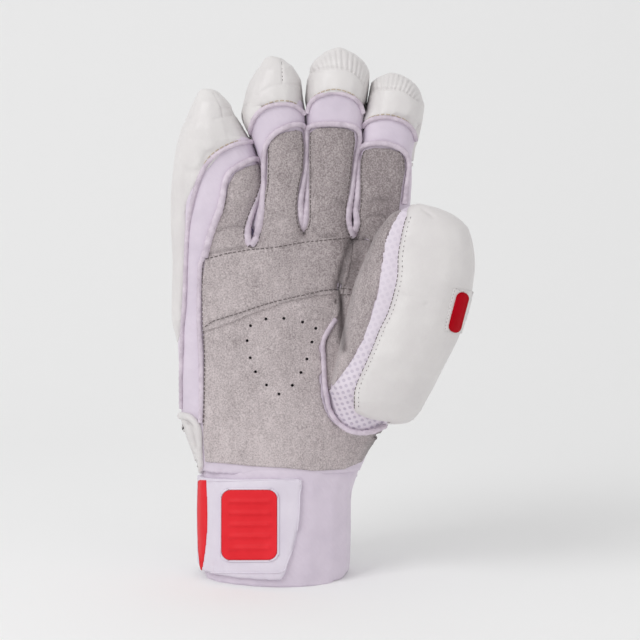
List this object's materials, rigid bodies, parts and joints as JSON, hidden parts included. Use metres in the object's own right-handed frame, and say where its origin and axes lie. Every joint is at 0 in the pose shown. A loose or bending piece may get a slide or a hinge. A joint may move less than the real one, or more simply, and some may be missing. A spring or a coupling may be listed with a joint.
{
  "type": "cricket batting glove",
  "caption": "Right-hand cricket batting glove with a suede palm, white padded finger caps and back rolls, a guarded thumb and a strapped cuff.",
  "frame": {"origin": "centre of the bounding box in X and Y, at the cuff's lower edge", "axes": "+Z from the cuff to the fingertips, -Y the way the palm faces, +X the thumb side"},
  "size_m": [0.1494, 0.0946, 0.2636],
  "materials": {
    "palm_suede": "napped suede",
    "white_leather": "smooth coated",
    "strap_leather": "smooth coated",
    "stretch_fabric": "fine knit",
    "spacer_mesh": "open mesh",
    "binding": "rolled tape",
    "red_rubber": "moulded matt",
    "dark_red_rubber": "moulded gloss"
  },
  "bodies": {
    "root": {"back_roll_high": "white_leather", "back_roll_low": "white_leather", "back_roll_middle": "white_leather", "binding_index": "binding", "binding_little": "binding", "binding_middle": "binding", "binding_ring": "binding", "cuff": "stretch_fabric", "hand_back": "stretch_fabric", "little_side_pad": "white_leather", "palm_finger_panel": "palm_suede", "palm_lower_panel": "palm_suede", "palm_middle_panel": "palm_suede", "piping_index": "binding", "piping_little": "binding", "piping_middle": "binding", "piping_ring": "binding", "roll_index_middle": "white_leather", "roll_index_root": "white_leather", "roll_little_middle": "white_leather", "roll_little_root": "white_leather", "roll_middle_middle": "white_leather", "roll_middle_root": "white_leather", "roll_ring_middle": "white_leather", "roll_ring_root": "white_leather", "side_tab": "white_leather", "stall_index": "stretch_fabric", "stall_little": "stretch_fabric", "stall_middle": "stretch_fabric", "stall_ring": "stretch_fabric", "strap": "strap_leather", "strap_patch": "red_rubber", "strap_stripe": "red_rubber", "thumb_back": "stretch_fabric", "thumb_label": "white_leather", "thumb_mesh": "spacer_mesh", "thumb_pad": "white_leather", "thumb_pill": "dark_red_rubber", "thumb_suede": "palm_suede", "tip_cap_index": "white_leather", "tip_cap_middle": "white_leather", "tip_cap_ring": "white_leather", "wrist_pad": "white_leather"}
  },
  "joints": []
}
